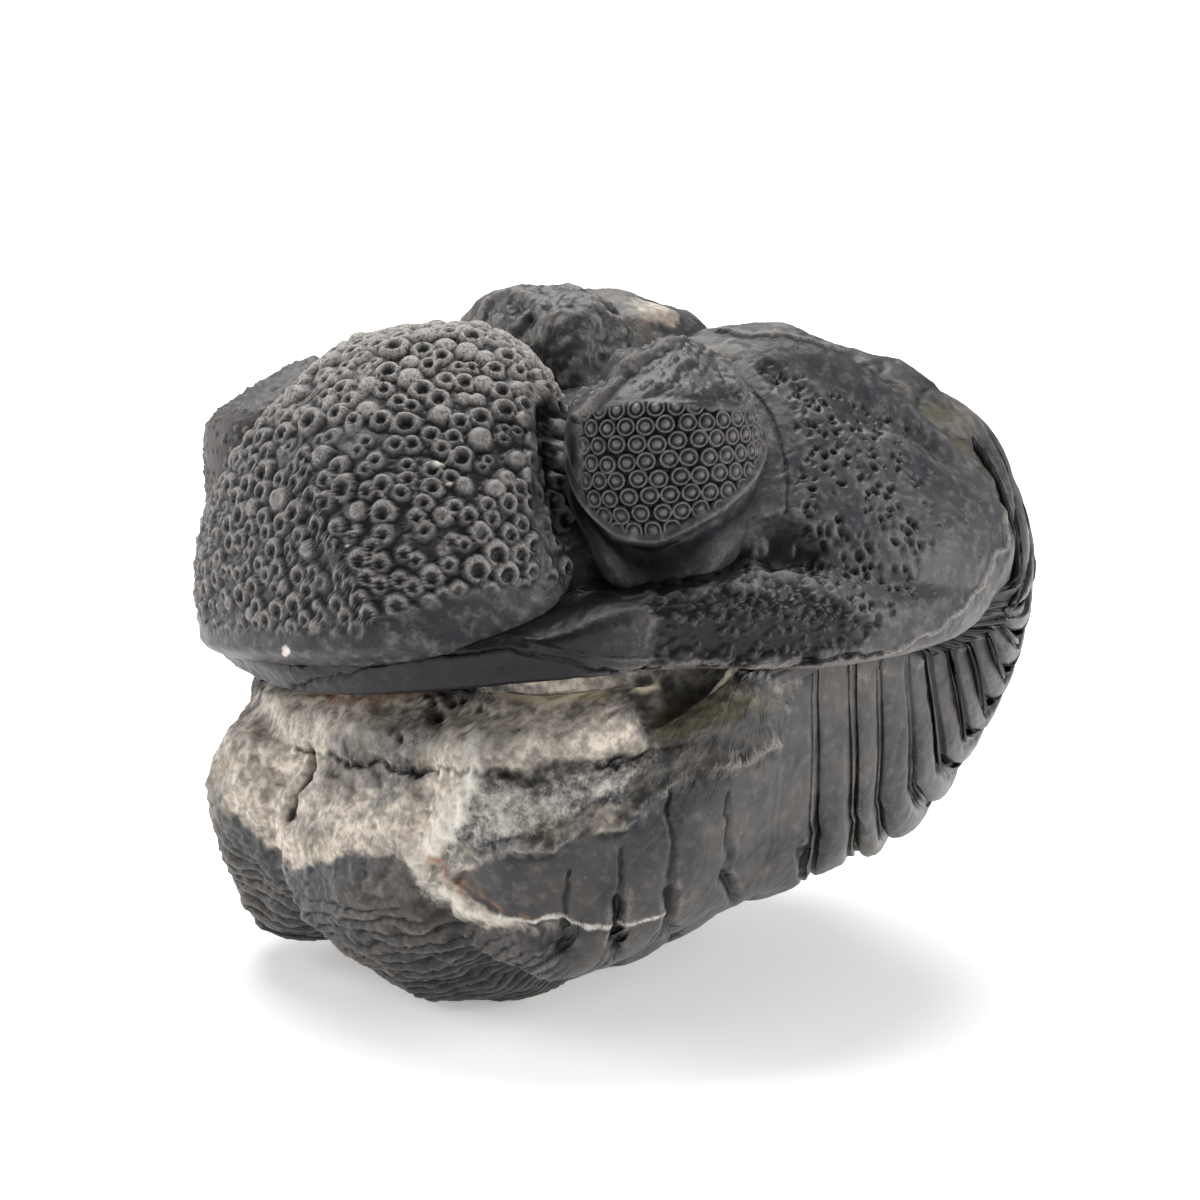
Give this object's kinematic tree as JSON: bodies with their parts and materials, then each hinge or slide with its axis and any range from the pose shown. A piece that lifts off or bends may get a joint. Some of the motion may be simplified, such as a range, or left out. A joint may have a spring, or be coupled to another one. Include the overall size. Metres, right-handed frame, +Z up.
{
  "type": "enrolled trilobite fossil",
  "caption": "Rolled-up trilobite in dark stone with a warty glabella, tall many-lensed eyes, ribbed thorax and a strip of matrix under the head, resting on a small flat.",
  "frame": {"origin": "centre of the bounding box in X and Y, at the height of the flat on which the fossil rests", "axes": "-Y is the way the head faces, +X is the animal's left side and +Z is up, with the head shield on top as it stands"},
  "size_m": [0.0496, 0.0526, 0.0403],
  "materials": {
    "charcoal_calcite": "dark grey-black calcite with a soft satin sheen, worn and dusty on the raised edges"
  },
  "bodies": {
    "root": {"trilobite_fossil": "charcoal_calcite"}
  },
  "joints": []
}
